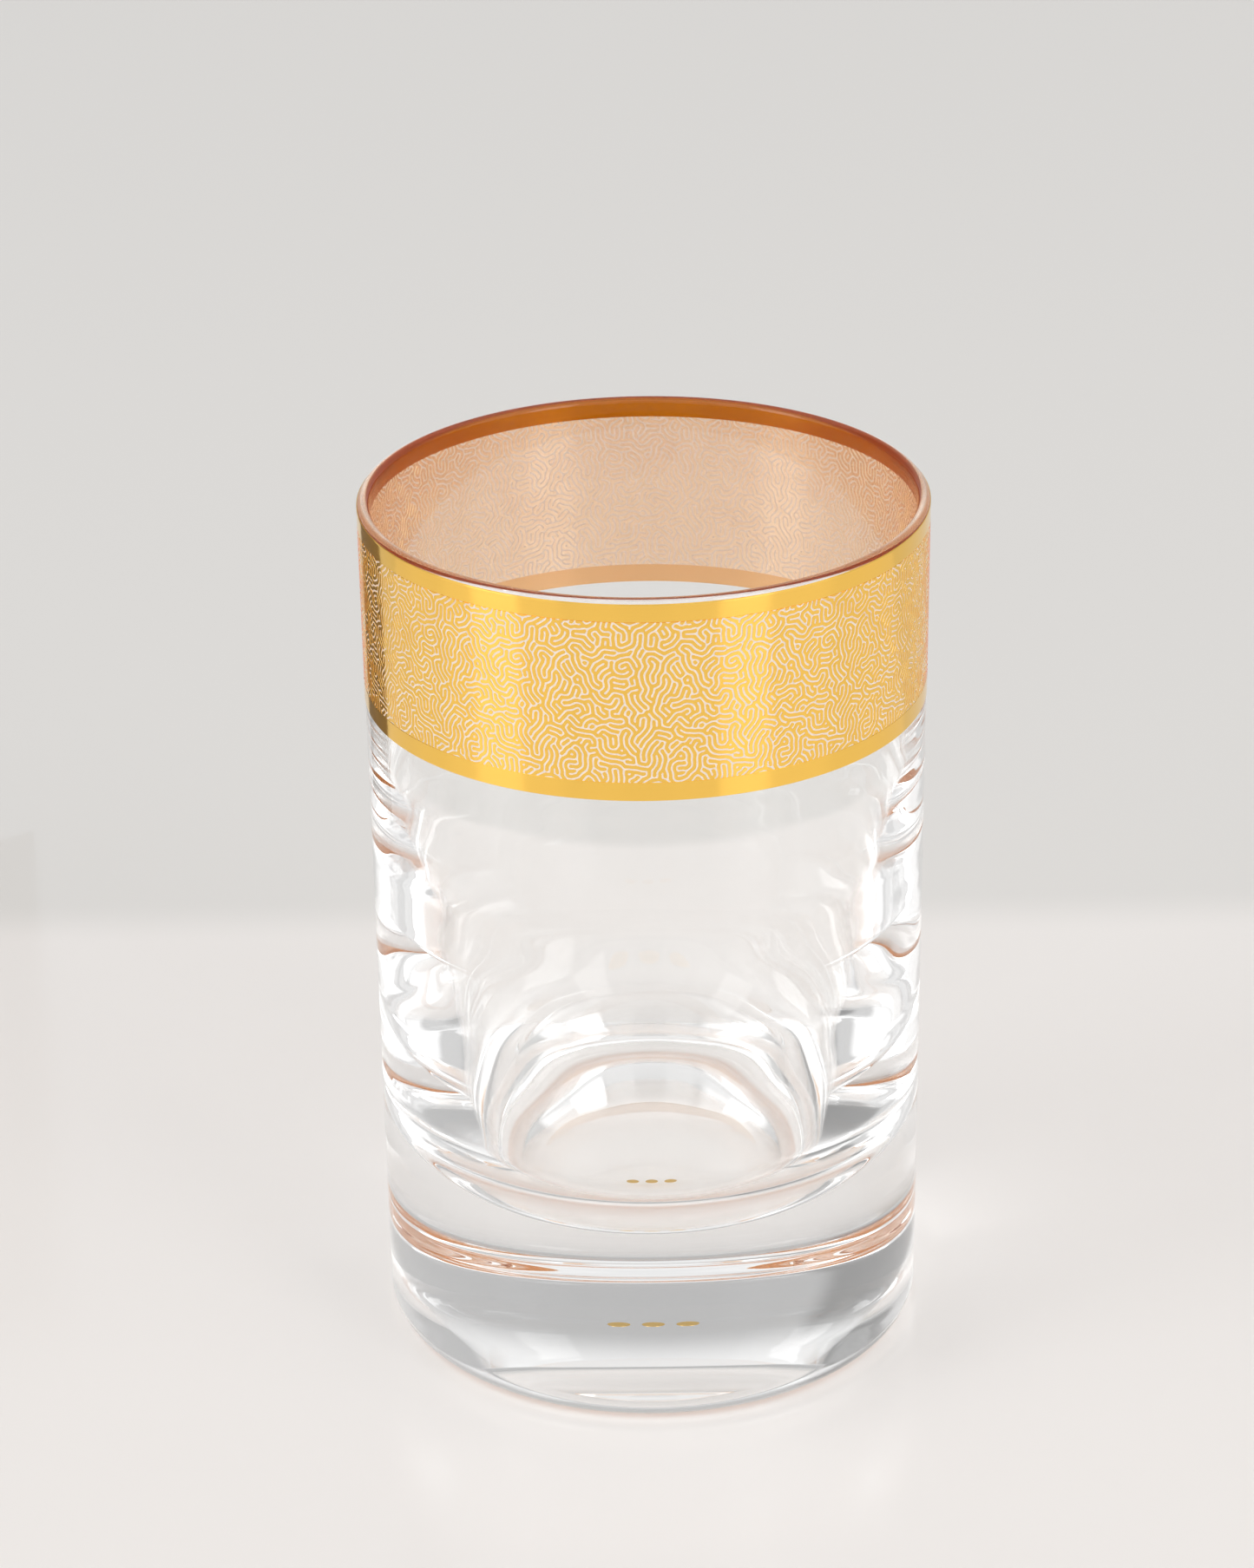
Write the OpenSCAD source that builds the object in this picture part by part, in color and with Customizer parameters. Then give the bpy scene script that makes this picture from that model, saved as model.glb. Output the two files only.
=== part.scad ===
// Straight-sided shot glass with a thick base and a fired gold border.
// The glass is one solid of revolution: an almost upright outer wall, a hollow
// that is nearly upright under the rim, then narrows a little and ends in a
// widely rounded floor, and a shallow dome under the base, so that it stands
// on a narrow ring. Two plain gold lines with a maze of fine gold lines between
// them are fired on the outside of the wall, just under the rim, and a small
// row of gold dots sits under the base.
// Millimetres, +Z up, origin at the middle of the foot.

/* [Glass] */
// Outer diameter at the rim
rim_d = 46; // [40:0.5:60]
// Outer diameter at the foot, before the heel is rounded
foot_d = 45; // [40:0.5:60]
// Overall height
height = 73.5; // [60:0.5:100]
// Wall thickness at the rim
rim_wall = 1; // [0.8:0.1:2]
// Radius of the rounded outer edge of the foot
heel_r = 2.5; // [1:0.1:4]

/* [Hollow] */
// Thickness of the glass between the two hollows, at the middle
base_t = 12; // [10:0.1:16]
// Lean of the upper wall of the hollow, in degrees from upright
upper_lean = 1.2; // [0.5:0.1:3]
// Lean of the lower wall of the hollow, in degrees from upright
lower_lean = 9; // [6:0.5:11]
// Radius of the long curve that joins the two walls
shoulder_r = 70; // [50:1:90]
// Depth below the rim at which that curve starts
shoulder_depth = 18.5; // [15:0.5:24]
// Radius of the round corner between the lower wall and the floor
corner_r = 9; // [6:0.1:10]

/* [Underside] */
// Radius of the dome under the base
dome_r = 18; // [12:0.1:18]
// Height of that dome at its middle
dome_h = 1.6; // [0.5:0.1:3]

/* [Gold border] */
// Bare glass between the top of the rim and the gold
rim_gap = 0.35; // [0.2:0.05:2]
// Height of the upper plain line
upper_line_h = 1.5; // [1:0.05:4]
// Height of the maze of fine lines
labyrinth_h = 13.4; // [4:0.05:20]
// Height of the lower plain line
lower_line_h = 1.55; // [0.5:0.05:4]
// Thickness of the fired gold
gold_t = 0.05; // [0.04:0.01:0.2]

/* [Base mark] */
// Number of gold dots in the row
dot_count = 3; // [1:1:5]
// Diameter of one dot
dot_d = 1.2; // [0.6:0.1:1.6]
// Distance between the middles of two neighbouring dots
dot_pitch = 1.8; // [1.8:0.1:3]

/* [Hidden] */
$fn = 128;
rim_r = rim_d / 2;
foot_r = foot_d / 2;
// The lip is a full round, as wide as the wall is there
lip_r = rim_wall / 2;
lip_z = height - lip_r;
mouth_r = rim_r - rim_wall;
// Floor of the hollow
floor_z = dome_h + base_t;
// The long curve runs from the upper to the lower wall, square to both of them
shoulder_top_z = height - shoulder_depth;
shoulder_top_r = mouth_r - (lip_z - shoulder_top_z) * tan(upper_lean);
shoulder_x = shoulder_top_r - shoulder_r * cos(upper_lean);
shoulder_z = shoulder_top_z + shoulder_r * sin(upper_lean);
shoulder_low_r = shoulder_x + shoulder_r * cos(lower_lean);
shoulder_low_z = shoulder_z - shoulder_r * sin(lower_lean);
// The lower wall would meet the floor at floor_r, were it not for the round corner
floor_r = shoulder_low_r - (shoulder_low_z - floor_z) * tan(lower_lean);
corner_reach = corner_r / tan((90 + lower_lean) / 2);
// The dome is part of a ball that meets the foot's ring at dome_r
ball_r = (dome_r * dome_r + dome_h * dome_h) / (2 * dome_h);
ball_z = dome_h - ball_r;
// Edges of the gold border, from the top down
upper_line_top = height - rim_gap;
labyrinth_top = upper_line_top - upper_line_h;
labyrinth_bottom = labyrinth_top - labyrinth_h;
lower_line_bottom = labyrinth_bottom - lower_line_h;

// Outer radius of the wall at height z: it widens evenly from the foot to the lip
function wall_r(z) = foot_r + (rim_r - foot_r) * z / lip_z;

// Half section of the glass as if it were solid, with its round heel and lip
module outer_section() {
    heel_x = wall_r(heel_r) - heel_r;
    polygon([
        [0, 0],
        [heel_x, 0],
        [heel_x, heel_r],
        [wall_r(heel_r), heel_r],
        [rim_r, lip_z],
        [rim_r - lip_r, lip_z],
        [rim_r - lip_r, height],
        [0, height]
    ]);
    translate([heel_x, heel_r]) circle(heel_r);
    translate([rim_r - lip_r, lip_z]) circle(lip_r);
}

// Half section of the hollow, open upwards past the rim
module hollow_section() {
    corner_x = floor_r - corner_reach;
    difference() {
        polygon([
            [0, floor_z],
            [corner_x, floor_z],
            [floor_r + corner_reach * sin(lower_lean), floor_z + corner_reach * cos(lower_lean)],
            [shoulder_low_r, shoulder_low_z],
            [shoulder_top_r, shoulder_top_z],
            [mouth_r, lip_z],
            [rim_r - lip_r, lip_z],
            [rim_r - lip_r, height + 1],
            [0, height + 1]
        ]);
        translate([rim_r - lip_r, lip_z]) circle(lip_r);
    }
    intersection() {
        translate([shoulder_x, shoulder_z]) circle(shoulder_r);
        translate([0, shoulder_low_z]) square([rim_r, shoulder_top_z - shoulder_low_z]);
    }
    translate([corner_x, floor_z + corner_r]) circle(corner_r);
}

// The glass itself, turned about the upright axis
module glass_body() {
    color("azure", 0.4)
    rotate_extrude()
    difference() {
        outer_section();
        hollow_section();
        intersection() {
            translate([0, ball_z]) circle(ball_r);
            square([dome_r + 1, dome_h + 1]);
        }
    }
}

// A film of gold on the outside of the wall, from height z0 up to z1
module gold_ring(z0, z1) {
    rotate_extrude()
    polygon([
        [wall_r(z0), z0],
        [wall_r(z0) + gold_t, z0],
        [wall_r(z1) + gold_t, z1],
        [wall_r(z1), z1]
    ]);
}

// Plain gold line next to the rim, which may reach onto the round of the lip
module upper_gold_line() {
    color("goldenrod") {
        gold_ring(labyrinth_top, min(upper_line_top, lip_z));
        if (upper_line_top > lip_z)
            rotate_extrude()
            intersection() {
                translate([rim_r - lip_r, lip_z])
                difference() {
                    circle(lip_r + gold_t);
                    circle(lip_r);
                }
                translate([rim_r - lip_r, lip_z])
                square([lip_r + gold_t, upper_line_top - lip_z]);
            }
    }
}

// Envelope of the maze of fine gold lines between the two plain lines
module labyrinth_band() {
    color("khaki") gold_ring(labyrinth_bottom, labyrinth_top);
}

// Plain gold line that closes the border below
module lower_gold_line() {
    color("goldenrod") gold_ring(lower_line_bottom, labyrinth_bottom);
}

// Row of gold dots that lie against the dome under the base
module base_mark() {
    color("goldenrod")
    intersection() {
        difference() {
            translate([0, 0, ball_z]) sphere(ball_r);
            translate([0, 0, ball_z]) sphere(ball_r - gold_t);
        }
        for (i = [0 : dot_count - 1]) {
            translate([(i - (dot_count - 1) / 2) * dot_pitch, 0, 0])
            cylinder(d = dot_d, h = dome_h + 1);
        }
    }
}

glass_body();
upper_gold_line();
labyrinth_band();
lower_gold_line();
base_mark();
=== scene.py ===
# %% [markdown]
# # A shot glass with a fired gold border
#
# The glass is a single gather of clear glass with a thick base. Its outer wall is almost
# upright. Its hollow is nearly upright too under the rim, then narrows a little and ends in a
# widely rounded floor. Gold is fired on the outside under the rim: a plain line, a maze of fine
# lines, and a second plain line.
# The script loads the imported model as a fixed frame, makes the fine surfaces that stand for
# its solids, and gives each one a finish made of shader nodes.

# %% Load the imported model
import math

import bpy
import numpy as np
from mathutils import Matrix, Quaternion, Vector
from mathutils.geometry import delaunay_2d_cdt


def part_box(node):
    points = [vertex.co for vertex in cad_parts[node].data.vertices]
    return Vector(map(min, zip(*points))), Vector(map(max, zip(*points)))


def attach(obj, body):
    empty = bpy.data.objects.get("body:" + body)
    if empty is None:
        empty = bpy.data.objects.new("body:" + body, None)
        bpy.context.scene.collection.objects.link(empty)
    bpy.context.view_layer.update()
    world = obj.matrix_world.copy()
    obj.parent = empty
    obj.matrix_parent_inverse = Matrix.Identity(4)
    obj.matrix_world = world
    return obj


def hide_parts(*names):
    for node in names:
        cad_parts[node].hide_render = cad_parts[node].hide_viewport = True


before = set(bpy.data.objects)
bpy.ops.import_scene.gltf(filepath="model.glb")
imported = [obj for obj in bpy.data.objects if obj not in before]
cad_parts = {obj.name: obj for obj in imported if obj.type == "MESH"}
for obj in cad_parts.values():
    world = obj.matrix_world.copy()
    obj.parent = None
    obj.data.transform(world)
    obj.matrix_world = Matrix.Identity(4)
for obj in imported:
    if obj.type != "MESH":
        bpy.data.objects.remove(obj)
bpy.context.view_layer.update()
print("nodes:", sorted(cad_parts))

# %% [markdown]
# ## Sizes
#
# Every size comes from the model's boxes where a box can give it: the rim, the height and the
# edges of the gold. What lies inside a box, such as the hollow, repeats the design's own
# values. Everything is in metres, with the origin at the middle of the foot and +Z up.

# %% Sizes of the glass and of its gold
MM = 0.001

glass_high = Vector(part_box("glass_body")[1])
upper_low, upper_high = (Vector(corner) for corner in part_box("upper_gold_line"))
lower_low, lower_high = (Vector(corner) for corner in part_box("lower_gold_line"))

height = glass_high.z
rim_r = round(glass_high.x / MM, 1) * MM
foot_r = 22.5 * MM
rim_wall = 1.0 * MM
heel_r = 2.5 * MM
lip_r = rim_wall / 2
lip_z = height - lip_r
mouth_r = rim_r - rim_wall

dome_r = 18.0 * MM
dome_h = 1.6 * MM
floor_z = dome_h + 12.0 * MM
upper_lean = math.radians(1.2)
lower_lean = math.radians(9.0)
shoulder_r = 70.0 * MM
shoulder_depth = 18.5 * MM
corner_r = 9.0 * MM

gold_t = 0.05 * MM
upper_top = upper_high.z
maze_top = upper_low.z
maze_bottom = lower_high.z
lower_bottom = lower_low.z


def wall_r(z):
    """Outer radius at height z: it grows evenly from the foot to the lip."""
    return foot_r + (rim_r - foot_r) * z / lip_z


print(f"rim {rim_r / MM:.1f} mm, height {height / MM:.1f} mm")
print(f"gold from {lower_bottom / MM:.2f} to {upper_top / MM:.2f} mm")

# %% [markdown]
# ## Camera
#
# The camera looks down on the glass from the front, so the whole rim shows as an ellipse. It
# stands 0.4 m away, behind a long lens, and leans less than a degree to one side, as a camera
# held by hand does.

# %% Place the camera
camera_distance = 0.400
camera_elevation = math.radians(25.87)
camera_aim = Vector((-1.64, 0.0, 47.76)) * MM
camera_roll = math.radians(-0.80)

camera_data = bpy.data.cameras.new("camera")
camera_data.sensor_width = 36.0
camera_data.lens = 110.05
camera = bpy.data.objects.new("camera", camera_data)
bpy.context.scene.collection.objects.link(camera)
camera.location = (
    0.0,
    -camera_distance * math.cos(camera_elevation),
    height / 2 + camera_distance * math.sin(camera_elevation),
)
look = (camera_aim - camera.location).to_track_quat("-Z", "Y")
camera.rotation_mode = "QUATERNION"
camera.rotation_quaternion = look @ Quaternion((0.0, 0.0, 1.0), camera_roll)
bpy.context.scene.camera = camera
print("camera at", [round(c, 3) for c in camera.location])

# %% [markdown]
# ## From arrays to a mesh
#
# A mesh is two arrays: the points, and for each face the numbers of its points. Blender can
# take both in one call each, which keeps a shape with a hundred thousand faces quick to make.

# %% Helper: make an object from arrays
sharp_angle = math.radians(40)


def mesh_object(name, points, quads=None, triangles=None):
    """Object from an (n, 3) array of points and arrays of four or three point numbers a face."""
    groups = [g for g in (quads, triangles) if g is not None and len(g)]
    corners = np.concatenate([g.ravel() for g in groups]).astype(np.int32)
    sides = np.concatenate([np.full(len(g), g.shape[1]) for g in groups])
    starts = np.concatenate([[0], np.cumsum(sides)[:-1]]).astype(np.int32)
    mesh = bpy.data.meshes.new(name)
    mesh.vertices.add(len(points))
    mesh.vertices.foreach_set("co", np.asarray(points, dtype=np.float32).ravel())
    mesh.loops.add(len(corners))
    mesh.loops.foreach_set("vertex_index", corners)
    mesh.polygons.add(len(sides))
    mesh.polygons.foreach_set("loop_start", starts)
    mesh.update(calc_edges=True)
    mesh.validate()
    mesh.shade_smooth()
    piece = bpy.data.objects.new(name, mesh)
    bpy.context.scene.collection.objects.link(piece)
    return piece


def count_triangles(piece):
    """Number of triangles that the piece's faces come to."""
    return sum(len(face.vertices) - 2 for face in piece.data.polygons)


# %% [markdown]
# ## Turned surfaces
#
# Glass is blown or pressed in a round mould, so its shape is a surface of turn: a half section
# carried round the axis. A point of the grid is found from its place along the section and
# its angle. Where the section meets the axis, the ring of points closes into one pole.

# %% Helper: carry a half section round the axis
def turned_grid(radius, level, turns):
    """x = radius * cos(angle), y = radius * sin(angle), z = level, for (rows, turns) arrays."""
    angle = np.arange(turns) * 2 * np.pi / turns
    return np.stack([radius * np.cos(angle), radius * np.sin(angle), level], axis=-1)


def ring_quads(rows, turns, closed):
    """Four point numbers for each cell between row i and i + 1 and turn j and j + 1."""
    i = np.arange(rows if closed else rows - 1)[:, None]
    j = np.arange(turns)[None, :]
    i2 = (i + 1) % rows
    j2 = (j + 1) % turns
    cells = np.stack(np.broadcast_arrays(i * turns + j, i * turns + j2, i2 * turns + j2, i2 * turns + j), -1)
    return cells.reshape(-1, 4)


def arc(centre, radius, start, end, count):
    """Points of a circle's arc: centre + radius * (cos a, sin a), a from start to end degrees."""
    a = np.radians(np.linspace(start, end, count))
    return np.stack([centre[0] + radius * np.cos(a), centre[1] + radius * np.sin(a)], axis=-1)


def line(start, end, count):
    """Evenly spaced points from start to end, without the two ends."""
    t = np.linspace(0, 1, count + 2)[1:-1, None]
    return np.asarray(start) * (1 - t) + np.asarray(end) * t


# %% [markdown]
# ## The glass
#
# The half section starts at the middle of the underside and runs over the shallow dome, the
# ring it stands on, the round heel, the outer wall and the lip, and then down the hollow to
# the middle of its floor. Straight stretches are lines and round ones are arcs, so the
# surface bends light as smoothly as real glass does.

# %% Half section of the glass
shoulder_top_z = height - shoulder_depth
shoulder_top_r = mouth_r - (lip_z - shoulder_top_z) * math.tan(upper_lean)
shoulder_x = shoulder_top_r - shoulder_r * math.cos(upper_lean)
shoulder_z = shoulder_top_z + shoulder_r * math.sin(upper_lean)
shoulder_low_r = shoulder_x + shoulder_r * math.cos(lower_lean)
shoulder_low_z = shoulder_z - shoulder_r * math.sin(lower_lean)
floor_r = shoulder_low_r - (shoulder_low_z - floor_z) * math.tan(lower_lean)
corner_x = floor_r - corner_r / math.tan((math.pi / 2 + lower_lean) / 2)
ball_r = (dome_r**2 + dome_h**2) / (2 * dome_h)
dome_edge = math.degrees(math.asin(dome_r / ball_r))
heel_x = wall_r(heel_r) - heel_r
lean_up, lean_low = math.degrees(upper_lean), math.degrees(lower_lean)

underside = arc((0, dome_h - ball_r), ball_r, 90, 90 - dome_edge, 24)
heel = arc((heel_x, heel_r), heel_r, -90, 0, 14)
lip = arc((rim_r - lip_r, lip_z), lip_r, 0, 180 - lean_up, 18)
shoulder = arc((shoulder_x, shoulder_z), shoulder_r, -lean_up, -lean_low, 24)
corner = arc((corner_x, floor_z + corner_r), corner_r, -lean_low, -90, 18)
outer_wall = line(heel[-1], lip[0], 40)
upper_wall = line(lip[-1], shoulder[0], 36)
lower_wall = line(shoulder[-1], corner[0], 44)
floor = line(corner[-1], (0, floor_z), 8)
middle = np.array([[0.0, floor_z]])
inner_wall = np.concatenate([upper_wall, shoulder, lower_wall])
section = np.concatenate([underside, heel, outer_wall, lip, inner_wall, corner, floor, middle])
print("half section of", len(section), "points, floor of the hollow", round(floor_r / MM, 1), "mm")

# %% [markdown]
# A mould never leaves the hollow quite smooth. Slow rings round the wall, about two hundredths
# of a millimetre deep, close together under the gold and wider apart lower down, are what makes
# thick glass flicker at its sides. They fade out at the gold above and at the floor below.

# %% Ripple the inner wall and turn the section
GLASS_TURNS = 432
ripple_depth = 0.020 * MM
ripple_stretch = 12.0 * MM
ripple_rate = 3.2
fade_top = 6.0 * MM
fade_floor = 9.0 * MM


def ripple(z, angle):
    """Sum of two waves with phase = rate * log(1 + depth / stretch), so they lengthen with depth.

    The second is 1.7 times as quick and 0.45 times as deep, and both wander a little round the wall.
    """
    below = np.clip(maze_bottom - z, 0, None)
    turns_up = 2 * np.pi * np.log1p(below / ripple_stretch) * ripple_rate
    waves = np.sin(turns_up + 0.9 * np.sin(angle - 0.5))
    waves += 0.45 * np.sin(1.7 * turns_up + 1.3 * np.cos(angle + 0.9))
    fade = np.clip((maze_bottom - z) / fade_top, 0, 1) * np.clip((z - floor_z) / fade_floor, 0, 1)
    return ripple_depth * waves * fade


def glass_grid():
    """Radius and height of the section's points, with the ripple added inside the hollow."""
    rows = section[1:-1]
    radius = np.repeat(rows[:, :1], GLASS_TURNS, axis=1)
    level = np.repeat(rows[:, 1:], GLASS_TURNS, axis=1)
    angle = np.arange(GLASS_TURNS) * 2 * np.pi / GLASS_TURNS
    first_inside = len(underside) - 1 + len(heel) + len(outer_wall) + len(lip)
    inside = slice(first_inside, first_inside + len(inner_wall))
    radius[inside] += ripple(level[inside], angle[None, :])
    return turned_grid(radius, level, GLASS_TURNS)


def capped_tube(name, grid, first_pole, last_pole):
    """Turned grid closed by a fan of triangles to a pole at each end."""
    rows, turns = grid.shape[:2]
    points = np.concatenate([grid.reshape(-1, 3), [first_pole, last_pole]])
    j = np.arange(turns)
    j2 = (j + 1) % turns
    last_row = (rows - 1) * turns
    first_fan = np.stack([np.full(turns, rows * turns), j2, j], axis=-1)
    last_fan = np.stack([np.full(turns, rows * turns + 1), last_row + j, last_row + j2], axis=-1)
    fans = np.concatenate([first_fan, last_fan])
    return mesh_object(name, points, ring_quads(rows, turns, closed=False), fans)


glass = capped_tube("clear_glass_body", glass_grid(), (0, 0, dome_h), (0, 0, floor_z))
longest = (ripple_stretch + maze_bottom - floor_z) / ripple_rate
print(f"ripples from {ripple_stretch / ripple_rate / MM:.1f} to {longest / MM:.1f} mm long")
print("glass:", count_triangles(glass), "triangles")

# %% [markdown]
# ## The plain gold lines
#
# Liquid gold is brushed on with the glass turning on a wheel and then fired. Each line is a
# thin closed ring, and the upper one reaches a little way onto the round of the lip. The back
# lies a hundredth of a millimetre inside the glass, so that no gap of air is left between
# glass and gold. The back has a finish of its own, a darker and redder copy of the gold: painted
# shade for how gold looks when it is seen through the glass.

# %% Make the two plain lines
LINE_TURNS = 448
gold_sink = 0.01 * MM
edge_round = 0.03 * MM
edge_lift = 0.4 * gold_t
lip_levels = 6


def outline(z, lift):
    """Point at height z moved outwards by lift: off the wall, or off the round of the lip."""
    turn = math.asin(max(z - lip_z, 0.0) / lip_r)
    straight = wall_r(min(z, lip_z)) - rim_r
    return (
        rim_r - lip_r + straight + (lip_r + lift) * math.cos(turn),
        min(z, lip_z) + (lip_r + lift) * math.sin(turn),
    )


def gold_ring(name, bottom, top):
    """Closed ring: a thin film section with softened outer edges, carried round the wall."""
    levels = np.array([bottom, top])
    if top > lip_z:
        levels = np.concatenate([[bottom], np.linspace(lip_z, top, lip_levels)])
    back_skin = [outline(z, -gold_sink) for z in levels]
    front_levels = levels.copy()
    front_levels[0] += edge_round
    front_levels[-1] -= edge_round
    front_skin = [outline(z, gold_t) for z in front_levels]
    top_edge, bottom_edge = [outline(top, edge_lift)], [outline(bottom, edge_lift)]
    film = np.array(back_skin + top_edge + front_skin[::-1] + bottom_edge)
    radius = np.repeat(film[:, :1], LINE_TURNS, axis=1)
    level = np.repeat(film[:, 1:], LINE_TURNS, axis=1)
    grid = turned_grid(radius, level, LINE_TURNS)
    quads = ring_quads(len(film), LINE_TURNS, closed=True)[:, ::-1]
    ring = mesh_object(name, grid.reshape(-1, 3), quads)
    ring.data.set_sharp_from_angle(angle=sharp_angle)
    back = np.zeros(len(ring.data.polygons), dtype=np.int32)
    back[: (len(levels) - 1) * LINE_TURNS] = 1
    return ring, back


upper_line, upper_back = gold_ring("upper_plain_line", maze_top, upper_top)
lower_line, lower_back = gold_ring("lower_plain_line", lower_bottom, maze_bottom)
print("plain lines:", count_triangles(upper_line), "and", count_triangles(lower_line), "triangles")

# %% [markdown]
# ## The maze of fine lines
#
# The maze is a printed transfer, made here as one tile set side by side round the glass. Patterns
# like this grow by themselves wherever stripes of one width push each other aside. The
# Swift-Hohenberg equation does it with numbers: noise is let grow only at one wavelength, and
# a cubic term stops it growing, so the stripes bend, branch and lock together. Worked out
# with Fourier transforms, the tile repeats without a seam.

# %% Grow the maze on one tile
TILES = 17
SAMPLES_U = 144
SAMPLES_V = 240
MAZE_SEED = 11
GROWTH = 1.0
STEPS = 450
STEP_TIME = 0.25
line_pitch = 0.41 * MM
gold_share = 0.62

tile_width = 2 * math.pi * wall_r((maze_top + maze_bottom) / 2) / TILES
cell = tile_width / SAMPLES_U


def grow_maze():
    """Height field u with du/dt = GROWTH u - (1 + laplacian)^2 u - u^3, periodic both ways."""
    field = np.random.default_rng(MAZE_SEED).normal(0.0, 0.1, (SAMPLES_V, SAMPLES_U))
    wave_u = 2 * np.pi * np.fft.fftfreq(SAMPLES_U) * line_pitch / cell / (2 * np.pi)
    wave_v = 2 * np.pi * np.fft.fftfreq(SAMPLES_V) * line_pitch / cell / (2 * np.pi)
    square = wave_u[None, :] ** 2 + wave_v[:, None] ** 2
    damping = 1 + STEP_TIME * (1 - square) ** 2
    for _ in range(STEPS):
        push = GROWTH * field - field**3
        spectrum = np.fft.fft2(field) + STEP_TIME * np.fft.fft2(push)
        field = np.real(np.fft.ifft2(spectrum / damping))
    return field - np.quantile(field, 1 - gold_share)


maze = grow_maze()
print("maze tile", round(tile_width / MM, 2), "mm wide, gold on", round(float((maze > 0).mean()), 2))

# %% [markdown]
# The edge of the gold is where the field passes through zero. Marching squares finds it: each
# side of a grid cell whose ends differ in sign gets a point by interpolation, and the points
# on one cell are joined. A tile then has thousands of points, most of them on almost
# straight stretches, so points that hardly bend the line are dropped in a few passes.

# %% Trace the edge of the gold
straightness = 0.015 * MM
longest_chord = 0.5 * MM


def tile_field():
    """The field, cut to the height of the band and closed at the right."""
    rows = int(round((maze_top - maze_bottom) / cell))
    part = maze[: rows + 1]
    return np.concatenate([part, part[:, :1]], axis=1)


def trace(field, step_u, step_v):
    """Crossing points of the zero line on a grid, and the pairs of points that it joins."""
    inside = field > 0
    across = inside[:, 1:] != inside[:, :-1]
    up = inside[1:, :] != inside[:-1, :]
    share_across = field[:, :-1] / (field[:, :-1] - field[:, 1:] + (~across))
    share_up = field[:-1, :] / (field[:-1, :] - field[1:, :] + (~up))
    ia, ja = np.nonzero(across)
    iu, ju = np.nonzero(up)
    number_across = np.full(across.shape, -1)
    number_across[ia, ja] = np.arange(len(ia))
    number_up = np.full(up.shape, -1)
    number_up[iu, ju] = len(ia) + np.arange(len(iu))
    points = np.concatenate([
        np.stack([(ja + share_across[ia, ja]) * step_u, ia * step_v], axis=-1),
        np.stack([ju * step_u, (iu + share_up[iu, ju]) * step_v], axis=-1),
    ])
    sides = np.stack([number_across[:-1], number_up[:, 1:], number_across[1:], number_up[:, :-1]], axis=-1)
    crossed = (sides >= 0).sum(axis=-1)
    two = sides[crossed == 2]
    joins = two[two >= 0].reshape(-1, 2)
    four = sides[crossed == 4]
    corner_inside = inside[:-1, :-1][crossed == 4]
    centre_inside = (field[:-1, :-1] + field[1:, :-1] + field[:-1, 1:] + field[1:, 1:])[crossed == 4] > 0
    same = (corner_inside == centre_inside)[:, None]
    first = np.where(same, four[:, [0, 1]], four[:, [0, 3]])
    second = np.where(same, four[:, [2, 3]], four[:, [1, 2]])
    return points, np.concatenate([joins, first, second])


def neighbours(count, joins):
    """The two points joined to each point, with -1 where a line ends at the tile's border."""
    ends = np.concatenate([joins, joins[:, ::-1]])
    ends = ends[np.argsort(ends[:, 0], kind="stable")]
    degree = np.bincount(ends[:, 0], minlength=count)
    first = np.concatenate([[0], np.cumsum(degree)[:-1]])
    beside = np.full((count, 2), -1)
    beside[degree > 0, 0] = ends[first[degree > 0], 1]
    beside[degree > 1, 1] = ends[first[degree > 1] + 1, 1]
    return beside


def straighten(points, joins, tolerance, passes):
    """Drop points nearer than the tolerance to the line between their two neighbours."""
    rng = np.random.default_rng(MAZE_SEED)
    for _ in range(passes):
        beside = neighbours(len(points), joins)
        free = (beside >= 0).all(axis=1) & (beside[:, 0] != beside[:, 1])
        a, b = points[beside[:, 0]], points[beside[:, 1]]
        chord = b - a
        length = np.linalg.norm(chord, axis=1) + 1e-12
        away = points - a
        off = np.abs(chord[:, 0] * away[:, 1] - chord[:, 1] * away[:, 0]) / length
        rank = rng.permutation(len(points)).astype(float)
        rank[~(free & (off < tolerance) & (length < longest_chord))] = np.inf
        drop = (rank < rank[beside[:, 0]]) & (rank < rank[beside[:, 1]])
        gone = np.nonzero(drop)[0]
        bridges = beside[gone]
        kept_joins = joins[~drop[joins].any(axis=1)]
        renumber = np.cumsum(~drop) - 1
        joins = renumber[np.concatenate([kept_joins, bridges])]
        points = points[~drop]
    return points, joins


tile = tile_field()
step_u = tile_width / (tile.shape[1] - 1)
step_v = (maze_top - maze_bottom) / (tile.shape[0] - 1)
edge_points, edge_joins = trace(tile, step_u, step_v)
traced = len(edge_points)
edge_points, edge_joins = straighten(edge_points, edge_joins, straightness, passes=14)
print("edge of the gold:", traced, "points traced,", len(edge_points), "kept")

# %% [markdown]
# A Delaunay triangulation that keeps the traced edge fills the tile with triangles. Those
# whose middle lies in the gold stay, and those without any area are dropped.

# %% Fill the tile with triangles
smallest_twice_area = 1e-13


def field_at(spots):
    """The tile's field between its samples, by bilinear interpolation."""
    u = np.clip(spots[:, 0] / step_u, 0, tile.shape[1] - 1.001)
    v = np.clip(spots[:, 1] / step_v, 0, tile.shape[0] - 1.001)
    j, i = u.astype(int), v.astype(int)
    s, t = u - j, v - i
    low = tile[i, j] * (1 - s) + tile[i, j + 1] * s
    high = tile[i + 1, j] * (1 - s) + tile[i + 1, j + 1] * s
    return low * (1 - t) + high * t


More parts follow.
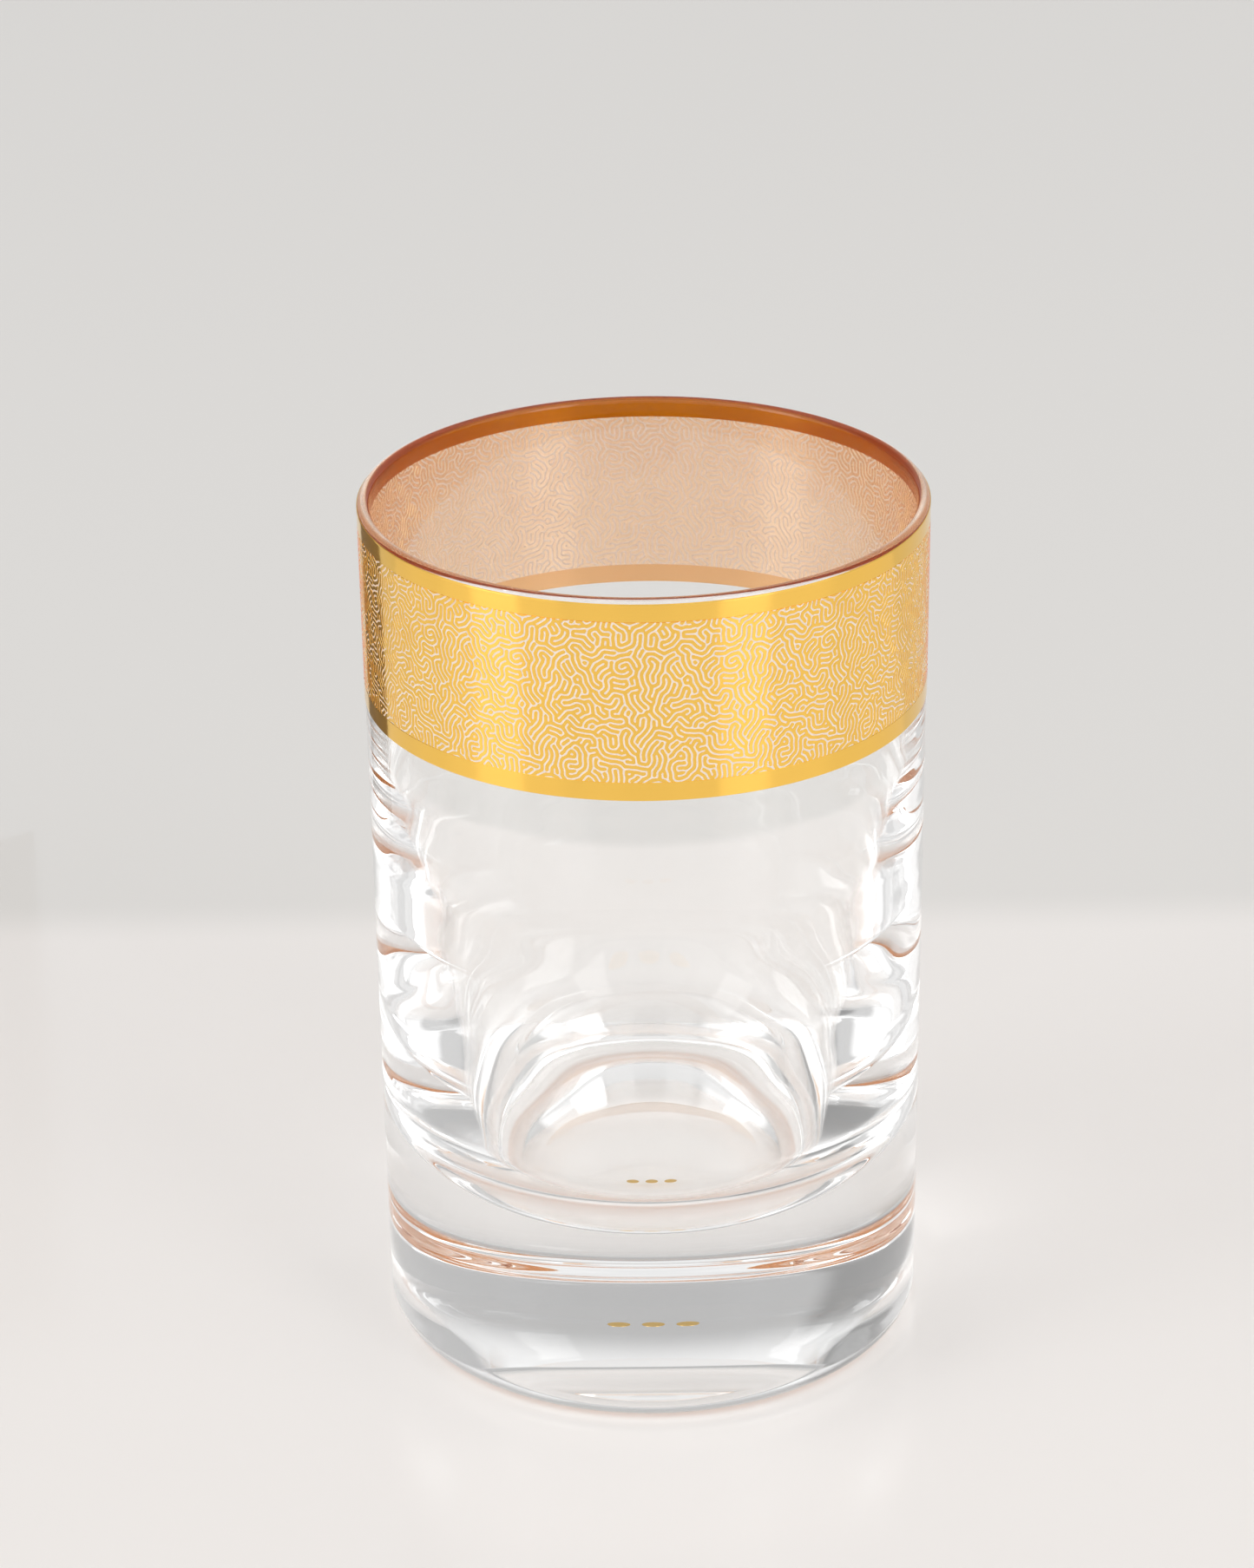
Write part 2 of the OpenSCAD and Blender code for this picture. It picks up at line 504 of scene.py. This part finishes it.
def fill_tile():
    """Points and triangles of one tile where the field at the triangle's middle is positive."""
    tall = maze_top - maze_bottom
    corners = np.array([[0, 0], [tile_width, 0], [0, tall], [tile_width, tall]])
    spots = np.concatenate([edge_points, corners])
    grow = 1 / MM
    flat = [Vector(spot) for spot in (spots * grow).tolist()]
    result = delaunay_2d_cdt(flat, edge_joins.tolist(), [], 0, 1e-6, False)
    found = np.array([tuple(v) for v in result[0]]) / grow
    faces = np.array([face for face in result[2] if len(face) == 3])
    a, b, c = (found[faces[:, k]] for k in range(3))
    twice_area = (b[:, 0] - a[:, 0]) * (c[:, 1] - a[:, 1]) - (b[:, 1] - a[:, 1]) * (c[:, 0] - a[:, 0])
    faces[twice_area < 0] = faces[twice_area < 0][:, ::-1]
    gold = field_at((a + b + c) / 3) > 0
    return found, faces[gold & (np.abs(twice_area) > smallest_twice_area)]


tile_points, tile_triangles = fill_tile()
print("one tile:", len(tile_points), "points,", len(tile_triangles), "triangles of gold")

# %% [markdown]
# The tile is set side by side round the wall, and the flat triangles get a back and side walls,
# which makes the maze a thin closed solid. Between its lines lies the pale glaze that the gold
# is printed on, a much thinner ring that some light passes through.

# %% Set the tiles round the wall and give them thickness
ground_t = 0.010 * MM
ground_sink = 0.006 * MM


def wrap_tiles():
    """Flat points of all tiles, joined at their seams, as angle and height, with triangles."""
    count = len(tile_points)
    close = 1e-4 * MM
    left = np.nonzero(tile_points[:, 0] < close)[0]
    right = np.nonzero(tile_points[:, 0] > tile_width - close)[0]
    left = left[np.argsort(tile_points[left, 1])]
    right = right[np.argsort(tile_points[right, 1])]
    assert len(left) == len(right)
    numbers = np.arange(TILES)[:, None] * count + np.arange(count)
    numbers[:, right] = np.roll(numbers[:, left], -1, axis=0)
    triangles = numbers[:, tile_triangles].reshape(-1, 3)
    used, triangles = np.unique(triangles, return_inverse=True)
    copy, spot = used // count, used % count
    angle = (copy + tile_points[spot, 0] / tile_width) * 2 * np.pi / TILES
    return angle, maze_bottom + tile_points[spot, 1], triangles.reshape(-1, 3)


def ground_ring(first):
    """Closed ring under the whole maze: points, faces numbered from first, and faces' finish."""
    levels = np.array([maze_bottom, maze_top, maze_top, maze_bottom])
    lift = np.array([-ground_sink, -ground_sink, ground_t, ground_t])
    radius = np.repeat((wall_r(levels) + lift)[:, None], LINE_TURNS, axis=1)
    grid = turned_grid(radius, np.repeat(levels[:, None], LINE_TURNS, axis=1), LINE_TURNS)
    quads = ring_quads(4, LINE_TURNS, closed=True)[:, ::-1] + first
    finish = np.full(len(quads), 2, dtype=np.int32)
    finish[:LINE_TURNS] = 3
    return grid.reshape(-1, 3), quads, finish


def thick_maze(name):
    """Closed film: triangles at wall + gold_t, their mirror at wall - gold_sink, walls between."""
    angle, level, front = wrap_tiles()
    count = len(angle)
    outer = wall_r(level) + gold_t
    inner = wall_r(level) - gold_sink
    radius = np.concatenate([outer, inner])
    turn = np.concatenate([angle, angle])
    points = np.stack([radius * np.cos(turn), radius * np.sin(turn), np.concatenate([level, level])], -1)
    back = front[:, ::-1] + count
    sides = np.concatenate([front[:, [0, 1]], front[:, [1, 2]], front[:, [2, 0]]])
    key = sides[:, 0] * count + sides[:, 1]
    mirrored = sides[:, 1] * count + sides[:, 0]
    border = sides[~np.isin(key, mirrored)]
    walls = np.stack([border[:, 1], border[:, 0], border[:, 0] + count, border[:, 1] + count], axis=-1)
    ground_points, ground_quads, ground_finish = ground_ring(len(points))
    piece = mesh_object(
        name,
        np.concatenate([points, ground_points]),
        np.concatenate([ground_quads, walls]),
        np.concatenate([front, back]),
    )
    gold_finish = np.zeros(len(walls) + 2 * len(front), dtype=np.int32)
    gold_finish[len(walls) + len(front):] = 1
    finish = np.concatenate([ground_finish, gold_finish])
    piece.data.set_sharp_from_angle(angle=sharp_angle)
    return piece, finish


maze_film, maze_finish = thick_maze("gold_maze")
print("maze:", count_triangles(maze_film), "triangles")

# %% [markdown]
# ## The mark under the base
#
# Three plain gold dots in a row lie against the shallow dome under the base. They are thin
# round caps that follow the dome, and the thick glass above them enlarges them.

# %% Make the dots
DOTS = 3
DOT_TURNS = 64
dot_r = 0.6 * MM
dot_pitch = 1.8 * MM


def dome_level(x, y):
    """Height of the dome under the base: the ball's centre plus its height at (x, y)."""
    return dome_h - ball_r + np.sqrt(ball_r**2 - x**2 - y**2)


def dot_points(middle_x):
    """Two skins of rings about the dot's middle: one in the glass, one gold_t below the dome."""
    angle = np.arange(DOT_TURNS) * 2 * np.pi / DOT_TURNS
    ring = np.linspace(0.15, 1, 6)[:, None] * dot_r
    x, y = middle_x + ring * np.cos(angle), ring * np.sin(angle)
    top = np.stack([x, y, dome_level(x, y) + gold_sink], axis=-1)
    under = np.stack([x, y, dome_level(x, y) - gold_t], axis=-1)
    return np.concatenate([top, under[::-1]])


def base_dots(name):
    """All dots as one mesh of closed caps."""
    points, quads, fans, offset = [], [], [], 0
    for k in range(DOTS):
        middle_x = (k - (DOTS - 1) / 2) * dot_pitch
        grid = dot_points(middle_x)
        rows, turns = grid.shape[:2]
        level = dome_level(middle_x, 0.0)
        poles = [(middle_x, 0, level + gold_sink), (middle_x, 0, level - gold_t)]
        points.append(np.concatenate([grid.reshape(-1, 3), poles]))
        quads.append(ring_quads(rows, turns, closed=False)[:, ::-1] + offset)
        j = np.arange(turns)
        j2 = (j + 1) % turns
        last = (rows - 1) * turns
        fans.append(np.stack([np.full(turns, rows * turns), j, j2], axis=-1) + offset)
        fans.append(np.stack([np.full(turns, rows * turns + 1), last + j2, last + j], axis=-1) + offset)
        offset += rows * turns + 2
    piece = mesh_object(name, np.concatenate(points), np.concatenate(quads), np.concatenate(fans))
    piece.data.set_sharp_from_angle(angle=sharp_angle)
    return piece


mark = base_dots("base_dots")
print("dots:", count_triangles(mark), "triangles")

# %% [markdown]
# ## Finishes
#
# Glass, fired gold and glaze are all made with Blender's Principled shader. What several
# finishes share is built once, as a group of nodes: smears that dull a surface in patches, and
# the unevenness of brushed gold. Both read the object's own coordinates, so they stay put on it.

# %% Helper: groups of nodes that several finishes share
def add_nodes(tree, kind, values=None, **settings):
    """One new node in a tree, with its settings and the values of its inputs."""
    node = tree.nodes.new(kind)
    for key, value in settings.items():
        setattr(node, key, value)
    for key, value in (values or {}).items():
        node.inputs[key].default_value = value
    return node


def new_group(name, inputs, output):
    """Node group with number inputs, given as name and value, and one number output."""
    tree = bpy.data.node_groups.new(name, "ShaderNodeTree")
    for label, value in inputs:
        socket = tree.interface.new_socket(label, in_out="INPUT", socket_type="NodeSocketFloat")
        socket.default_value = value
    tree.interface.new_socket(output, in_out="OUTPUT", socket_type="NodeSocketFloat")
    return tree, tree.nodes.new("NodeGroupInput"), tree.nodes.new("NodeGroupOutput")


def make_smears():
    """Roughness = Clean + (Smeared - Clean) * noise, where the noise is cut to a few patches."""
    tree, given, result = new_group(
        "smears", (("Scale", 60.0), ("Clean", 0.0), ("Smeared", 0.1)), "Roughness"
    )
    place = add_nodes(tree, "ShaderNodeTexCoord")
    noise = add_nodes(tree, "ShaderNodeTexNoise", {"Detail": 4.0, "Distortion": 0.6})
    spread = add_nodes(tree, "ShaderNodeMapRange", {"From Min": 0.48, "From Max": 0.72})
    tree.links.new(place.outputs["Object"], noise.inputs["Vector"])
    tree.links.new(given.outputs["Scale"], noise.inputs["Scale"])
    tree.links.new(noise.outputs[0], spread.inputs["Value"])
    tree.links.new(given.outputs["Clean"], spread.inputs["To Min"])
    tree.links.new(given.outputs["Smeared"], spread.inputs["To Max"])
    tree.links.new(spread.outputs["Result"], result.inputs["Roughness"])
    return tree


def make_unevenness():
    """Height = fine noise + Streaks * noise drawn out level, as a brush on a turning wheel."""
    tree, given, result = new_group(
        "unevenness", (("Scale", 400.0), ("Streaks", 0.5)), "Height"
    )
    place = add_nodes(tree, "ShaderNodeTexCoord")
    level = add_nodes(tree, "ShaderNodeMapping")
    level.inputs["Scale"].default_value = (0.06, 0.06, 2.5)
    fine = add_nodes(tree, "ShaderNodeTexNoise", {"Detail": 3.0})
    drawn = add_nodes(tree, "ShaderNodeTexNoise", {"Detail": 2.0})
    total = add_nodes(tree, "ShaderNodeMath", operation="MULTIPLY_ADD")
    tree.links.new(place.outputs["Object"], fine.inputs["Vector"])
    tree.links.new(place.outputs["Object"], level.inputs["Vector"])
    tree.links.new(level.outputs["Vector"], drawn.inputs["Vector"])
    for noise in (fine, drawn):
        tree.links.new(given.outputs["Scale"], noise.inputs["Scale"])
    tree.links.new(drawn.outputs[0], total.inputs[0])
    tree.links.new(given.outputs["Streaks"], total.inputs[1])
    tree.links.new(fine.outputs[0], total.inputs[2])
    tree.links.new(total.outputs[0], result.inputs["Height"])
    return tree


smears = make_smears()
unevenness = make_unevenness()
print("shared groups:", smears.name, "and", unevenness.name)


def new_material(name):
    """Node material, and the Principled shader that is wired to its output."""
    material = bpy.data.materials.new(name)
    material.use_nodes = True
    return material, material.node_tree.nodes["Principled BSDF"]


def use_group(material, tree, values):
    """The group as a node of the material, with its inputs set, and its one output."""
    node = add_nodes(material.node_tree, "ShaderNodeGroup", node_tree=tree)
    for key, value in values.items():
        node.inputs[key].default_value = value
    return node.outputs[0]


# %% [markdown]
# The glass is clear crystal without a tint. It is polished by the flame, so it is perfectly
# smooth but for faint smears left by fingers and a cloth.

# %% Clear glass
clear_glass, shader = new_material("clear_glass")
shader.inputs["Base Color"].default_value = (0.998, 1.0, 0.998, 1.0)
shader.inputs["Transmission Weight"].default_value = 1.0
shader.inputs["IOR"].default_value = 1.52
dulling = use_group(clear_glass, smears, {"Scale": 55.0, "Clean": 0.0, "Smeared": 0.012})
clear_glass.node_tree.links.new(dulling, shader.inputs["Roughness"])
print("glass of index", round(shader.inputs["IOR"].default_value, 2))

# %% [markdown]
# Fired gold is a mirror that has been brushed on, so it shows faint level streaks. From
# inside the glass its back is seen, and the colours of the back are painted: darker amber on the
# upper line and orange on the lower one are painted shade, and a paler pinkish tan on the maze
# is painted light that passes through the thin gold from behind.

# %% Fired gold, front and back
def make_gold(name, colour, metal, clean, smeared):
    """Fired gold of one colour: how much of a metal it is, and its roughness range."""
    material, shader = new_material(name)
    links = material.node_tree.links
    shader.inputs["Base Color"].default_value = (*colour, 1.0)
    shader.inputs["Metallic"].default_value = metal
    dull = use_group(material, smears, {"Scale": 160.0, "Clean": clean, "Smeared": smeared})
    links.new(dull, shader.inputs["Roughness"])
    height = use_group(material, unevenness, {"Scale": 500.0, "Streaks": 1.5})
    relief = add_nodes(material.node_tree, "ShaderNodeBump", {"Strength": 0.2, "Distance": 0.02 * MM})
    links.new(height, relief.inputs["Height"])
    links.new(relief.outputs["Normal"], shader.inputs["Normal"])
    return material


gold_front = make_gold("fired_gold", (1.0, 0.62, 0.125), 1.0, 0.08, 0.16)
# The backs' colours are painted: darker shade on the plain lines, and on the maze a paler tan for light
# passing through the thin gold.
painted_shade_back_upper = make_gold("fired_gold_back_upper_painted_shade", (0.52, 0.15, 0.0005), 1.0, 0.12, 0.22)
painted_light_back_maze = make_gold("fired_gold_back_maze_painted_light", (0.93, 0.70, 0.49), 0.75, 0.16, 0.26)
painted_shade_back_lower = make_gold("fired_gold_back_lower_painted_shade", (0.88, 0.53, 0.24), 0.6, 0.18, 0.28)
print("gold:", [finish.name for finish in (gold_front, painted_shade_back_upper, painted_light_back_maze, painted_shade_back_lower)])

# %% [markdown]
# The glaze between the lines of the maze is pale and covers only about half of what lies
# behind it. Alpha does that without bending any light, which suits a layer this thin. Its back
# is warmer, and that warmth is painted light: the glow of the gold beside it, seen through the
# glass.

# %% Pale glaze between the lines
def make_ground(name, colour, cover):
    """Thin glaze of one colour that covers a share of what lies behind it."""
    material, shader = new_material(name)
    shader.inputs["Base Color"].default_value = (*colour, 1.0)
    shader.inputs["Alpha"].default_value = cover
    dull = use_group(material, smears, {"Scale": 160.0, "Clean": 0.35, "Smeared": 0.5})
    material.node_tree.links.new(dull, shader.inputs["Roughness"])
    return material


ground_front = make_ground("pale_glaze", (1.0, 0.95, 0.88), 0.52)
# The back's warmer colour is painted light: the gold's glow beside it, seen through the glass.
painted_warm_glaze_back = make_ground("pale_glaze_back_painted_warm_light", (0.92, 0.74, 0.57), 0.45)
print("glaze:", ground_front.name, "and", painted_warm_glaze_back.name)

# %% [markdown]
# A piece lists its finishes in slots, and every face holds the number of its slot. The faces of
# a film's back take the second slot, and the glaze takes the third and fourth.

# %% Dress the pieces
def dress(piece, *finishes, faces=None):
    """Give a piece its finishes, and each face the number of its own."""
    for finish in finishes:
        piece.data.materials.append(finish)
    if faces is not None:
        piece.data.polygons.foreach_set("material_index", faces)
    piece.data.update()


dress(glass, clear_glass)
dress(upper_line, gold_front, painted_shade_back_upper, faces=upper_back)
dress(lower_line, gold_front, painted_shade_back_lower, faces=lower_back)
dress(maze_film, gold_front, painted_light_back_maze, ground_front, painted_warm_glaze_back, faces=maze_finish)
dress(mark, gold_front)
print("finishes on the maze:", len(maze_film.data.materials))

# %% [markdown]
# ## Fasten the pieces to the frame
#
# Each new piece rides on the model's one body and stands for one of its nodes, which is hidden.
# The list also names each piece's finish, the same for all gold, which the loop does not use.

# %% Ride and replace
for piece, node, finish in (
    (glass, "glass_body", "clear_glass"),
    (upper_line, "upper_gold_line", "fired_gold"),
    (maze_film, "labyrinth_band", "fired_gold"),
    (lower_line, "lower_gold_line", "fired_gold"),
    (mark, "base_mark", "fired_gold"),
):
    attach(piece, "root")
    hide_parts(node)
    print(piece.name, "stands for", node)

# %% [markdown]
# ## Floor and light
#
# The glass stands on a white, slightly glossy table. Behind it the table ends and a light grey
# wall begins. Both are painted on one large floor, so nothing stands in the way of any view.
# The floor lies a hair under the foot, because two faces in one plane confuse the light.

# %% Floor
FLOOR_HALF = 3.0
floor_gap = 0.03 * MM
table_edge = 73 * MM
edge_soft = 5 * MM
table_white = (0.94, 0.905, 0.88)
wall_grey = (0.82, 0.80, 0.775)

floor_piece = mesh_object(
    "floor",
    np.array([(x * FLOOR_HALF, y * FLOOR_HALF, -floor_gap) for x, y in ((-1, -1), (1, -1), (1, 1), (-1, 1))]),
    np.array([[0, 1, 2, 3]]),
)
table_top, shader = new_material("table_top")
tree = table_top.node_tree
place = add_nodes(tree, "ShaderNodeTexCoord")
split = add_nodes(tree, "ShaderNodeSeparateXYZ")
near_far = {"From Min": table_edge - edge_soft, "From Max": table_edge + edge_soft}
edge = add_nodes(tree, "ShaderNodeMapRange", near_far, interpolation_type="SMOOTHSTEP")
blend = add_nodes(tree, "ShaderNodeMix", data_type="RGBA")
blend.inputs["A"].default_value = (*table_white, 1.0)
blend.inputs["B"].default_value = (*wall_grey, 1.0)
tree.links.new(place.outputs["Object"], split.inputs[0])
tree.links.new(split.outputs["Y"], edge.inputs["Value"])
tree.links.new(edge.outputs["Result"], blend.inputs["Factor"])
tree.links.new(blend.outputs["Result"], shader.inputs["Base Color"])
shader.inputs["Roughness"].default_value = 0.16
floor_piece.data.materials.append(table_top)
print("floor", 2 * FLOOR_HALF, "m across, grey beyond", round(table_edge / MM), "mm")

# %% [markdown]
# A dark warm grey card stands on the table at the left, behind the glass. Only reflections show
# it, and it casts no shadow. It darkens the left end of the gold, as dark things in a room do,
# and it can show faintly in the glossy table and the glass.

# %% Grey card
card_start, card_end = math.radians(-121), math.radians(-146)
card_away = 115 * MM
card_tall = 60 * MM
card_parts = 8
card_turns = np.linspace(card_start, card_end, card_parts + 1)
card_foot = np.stack([card_away * np.sin(card_turns), -card_away * np.cos(card_turns), 0 * card_turns], -1)
card_points = np.concatenate([card_foot, card_foot + [0, 0, card_tall]])
foot = np.arange(card_parts)
top = foot + card_parts + 1
card = mesh_object("grey_card", card_points, np.stack([foot, foot + 1, top + 1, top], axis=-1))
card_grey, shader = new_material("grey_card")
shader.inputs["Base Color"].default_value = (0.22, 0.18, 0.14, 1.0)
shader.inputs["Roughness"].default_value = 0.8
card.data.materials.append(card_grey)
card.visible_camera = False
card.visible_diffuse = False
card.visible_transmission = False
card.visible_shadow = False
print("card", round(card_away / MM), "mm from the axis,", round(card_tall / MM), "mm tall")

# %% [markdown]
# Light comes from the whole sky round the glass. It is brighter towards the front, where two
# wide windows each have a brighter core, and a pale column with a darker strip stands between
# them. It is dimmer behind, and darkest behind at the left.
# Cycles blurs light that reaches the table through glass unless blur_glossy is 0, and with the
# blur on, the table under the glass turns far too dark. Thick glass also turns a ray back many
# times before it leaves, so the bounce counts are high.

# %% Sky of soft light
world = bpy.data.worlds.new("studio")
bpy.context.scene.world = world
world.use_nodes = True
nodes = world.node_tree.nodes
links = world.node_tree.links
background = nodes["Background"]
background.inputs["Color"].default_value = (1.0, 1.0, 1.0, 1.0)


def maths(operation, first, second=0.0, third=0.0):
    """Result of one Math node, whose inputs are numbers or other nodes' outputs."""
    node = nodes.new("ShaderNodeMath")
    node.operation = operation
    for socket, value in zip(node.inputs, (first, second, third)):
        if isinstance(value, (int, float)):
            socket.default_value = value
        else:
            links.new(value, socket)
    return node.outputs[0]


def band(value, low, high, soft):
    """1 between low and high, fading to 0 over the soft width outside them."""
    sides = []
    for start, end in ((low - soft, low), (high + soft, high)):
        node = nodes.new("ShaderNodeMapRange")
        node.interpolation_type = "SMOOTHSTEP"
        node.inputs["From Min"].default_value = start
        node.inputs["From Max"].default_value = end
        links.new(value, node.inputs["Value"])
        sides.append(node.outputs["Result"])
    return maths("MULTIPLY", sides[0], sides[1])


direction = nodes.new("ShaderNodeTexCoord")
split = nodes.new("ShaderNodeSeparateXYZ")
links.new(direction.outputs["Generated"], split.inputs[0])
toward = maths("MULTIPLY", split.outputs["Y"], -1.0)
azimuth = maths("ARCTAN2", split.outputs["X"], toward)
elevation = maths("ARCSINE", split.outputs["Z"])

ROOM_LIGHT = 0.47
# Each window, pale ceiling or dark place: middle and half width in azimuth, lowest and highest
# elevation, soft edge, all in degrees, and how much light it adds or takes away.
SCREENS = (
    (0, 190, 52, 91, 18, 0.38),
    (0, 100, -8, 46, 16, 0.16),
    (-60, 22, 4, 54, 10, 0.50),
    (56, 18, 4, 54, 10, 0.45),
    (-62, 9, 8, 40, 3, 1.70),
    (40, 9, 8, 40, 3, 1.60),
    (0, 24, 0, 60, 8, 0.22),
    (0, 9, 0, 50, 2, -0.15),
    (-130, 18, 10, 40, 8, -0.20),
)
light = maths("ADD", ROOM_LIGHT, 0.0)
for middle_az, half, low, high, soft, amount in SCREENS:
    wide = band(azimuth, *(math.radians(a) for a in (middle_az - half, middle_az + half, soft)))
    tall = band(elevation, *(math.radians(a) for a in (low, high, soft)))
    light = maths("MULTIPLY_ADD", maths("MULTIPLY", wide, tall), amount, light)
links.new(light, background.inputs["Strength"])

scene = bpy.context.scene
scene.view_settings.view_transform = "Standard"
scene.cycles.max_bounces = 64
scene.cycles.transmission_bounces = 64
scene.cycles.glossy_bounces = 64
scene.cycles.diffuse_bounces = 6
scene.cycles.blur_glossy = 0.0
print("sky of", len(SCREENS), "lights and dark places over a room of", ROOM_LIGHT)
